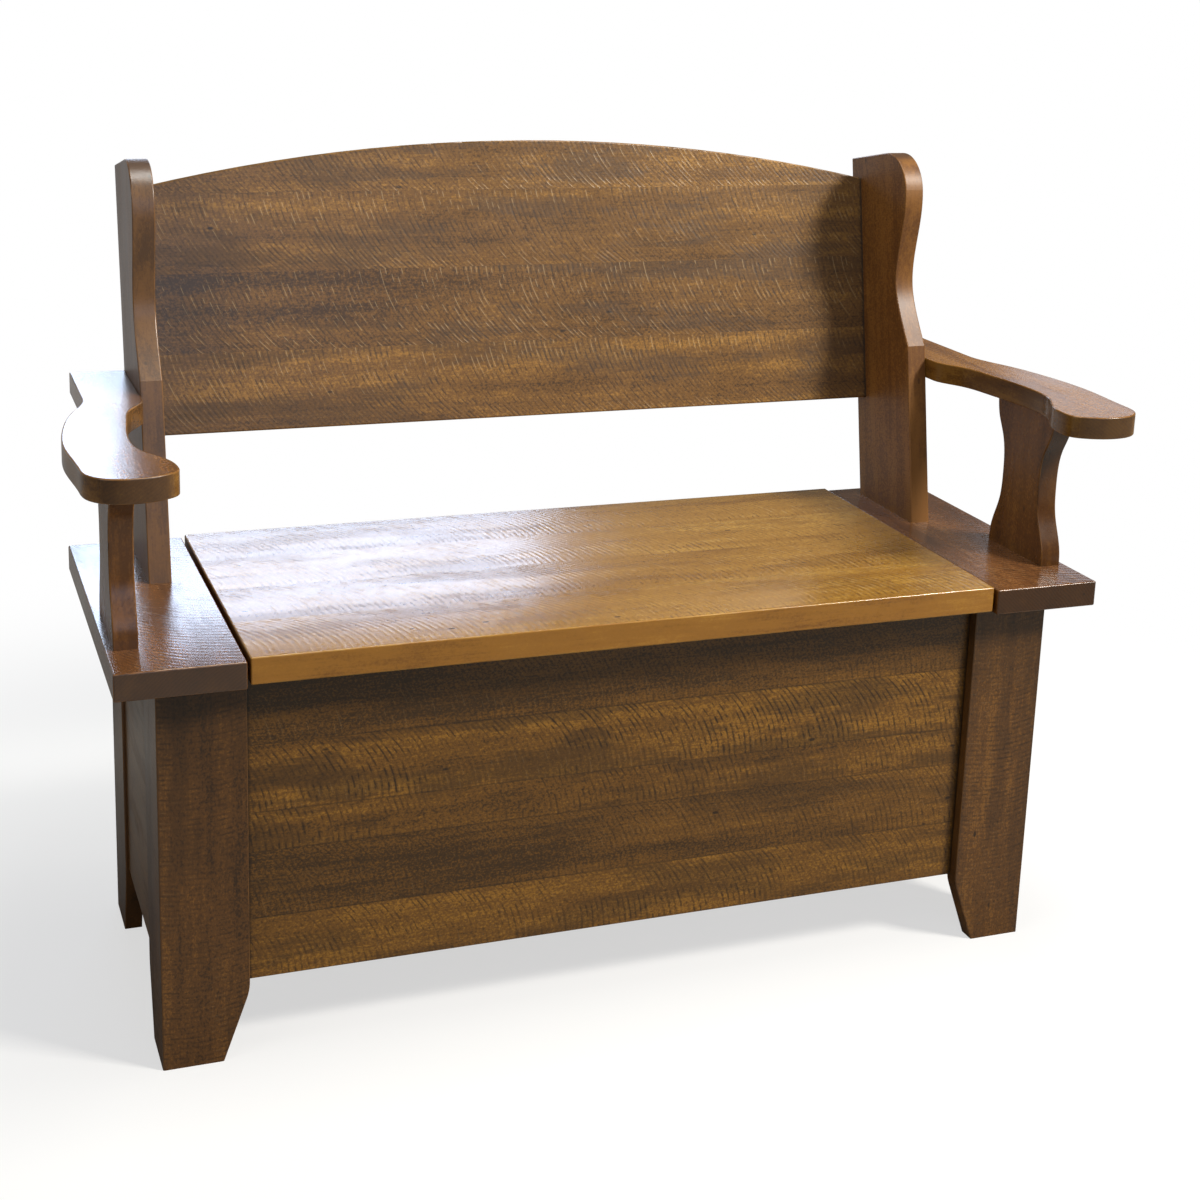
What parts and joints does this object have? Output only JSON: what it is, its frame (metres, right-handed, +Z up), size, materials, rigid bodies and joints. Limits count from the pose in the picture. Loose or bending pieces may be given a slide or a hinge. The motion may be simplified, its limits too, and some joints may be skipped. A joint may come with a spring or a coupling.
{
  "type": "storage bench",
  "caption": "Wooden storage bench with arms, an arched leaning back and a seat whose middle is a hinged lid over a chest.",
  "frame": {"origin": "on the floor under the middle of the whole bench's box", "axes": "+X to the bench's own right as seen from the front, along its length; +Y to the back, so it faces -Y; +Z up"},
  "size_m": [1.18, 0.5215, 0.9213],
  "materials": {
    "lid_wood": "stained and lacquered, satin, saw marks left in the face",
    "seat_wood": "stained and lacquered, satin, saw marks left in the face",
    "panel_wood": "stained and lacquered, satin, saw marks left in the face",
    "leg_wood": "stained and lacquered, satin, saw marks left in the face",
    "back_wood": "stained and lacquered, satin, saw marks left in the face",
    "smooth_wood": "planed, stained and lacquered, satin",
    "inner_wood": "planed, thin clear lacquer",
    "dowel_wood": "bare",
    "hinge_steel": "brushed, brass-toned plating",
    "screw_steel": "zinc plated",
    "bumper_rubber": "matte"
  },
  "bodies": {
    "frame": {"end_plank_left": "seat_wood", "leg_front_left_face": "leg_wood", "leg_front_left_side": "leg_wood", "corner_block_front_left": "inner_wood", "leg_rear_left_face": "leg_wood", "leg_rear_left_side": "leg_wood", "corner_block_rear_left": "inner_wood", "side_panel_left": "panel_wood", "bottom_cleat_left": "inner_wood", "seat_cleat_left": "inner_wood", "post_left": "smooth_wood", "arm_left": "smooth_wood", "arm_support_left": "smooth_wood", "end_plank_right": "seat_wood", "leg_front_right_face": "leg_wood", "leg_front_right_side": "leg_wood", "corner_block_front_right": "inner_wood", "leg_rear_right_face": "leg_wood", "leg_rear_right_side": "leg_wood", "corner_block_rear_right": "inner_wood", "side_panel_right": "panel_wood", "bottom_cleat_right": "inner_wood", "seat_cleat_right": "inner_wood", "post_right": "smooth_wood", "arm_right": "smooth_wood", "arm_support_right": "smooth_wood", "bottom_cleat_front": "inner_wood", "bottom_cleat_rear": "inner_wood", "bottom_panel": "inner_wood", "front_panel_board_1": "panel_wood", "front_panel_board_2": "panel_wood", "front_panel_board_3": "panel_wood", "front_panel_board_4": "panel_wood", "front_panel_board_5": "panel_wood", "back_panel_board_1": "back_wood", "back_panel_board_2": "back_wood", "back_panel_board_3": "back_wood", "back_panel_board_4": "back_wood", "rear_panel_boards": "panel_wood", "hinge_frame_leaves": "hinge_steel", "hinge_pins": "hinge_steel", "lid_bumpers": "bumper_rubber", "front_panel_screws": "screw_steel", "chest_dowels": "dowel_wood", "seat_screws": "screw_steel", "post_screws": "screw_steel", "support_screws": "screw_steel", "back_dowels": "dowel_wood", "arm_dowels": "dowel_wood", "hinge_frame_screws": "screw_steel"},
    "lid": {"lid_batten_left": "inner_wood", "lid_batten_right": "inner_wood", "lid_board_1": "lid_wood", "lid_board_2": "lid_wood", "lid_board_3": "lid_wood", "lid_board_4": "lid_wood", "hinge_lid_leaves": "hinge_steel", "batten_screws": "screw_steel", "hinge_lid_screws": "screw_steel"}
  },
  "joints": [
    {"name": "lid_hinge", "type": "hinge", "parent": "frame", "child": "lid", "pos_m": [0, 0.1958, 0.4265], "axis": [-1, 0, 0], "range_deg": [0, 70]}
  ]
}
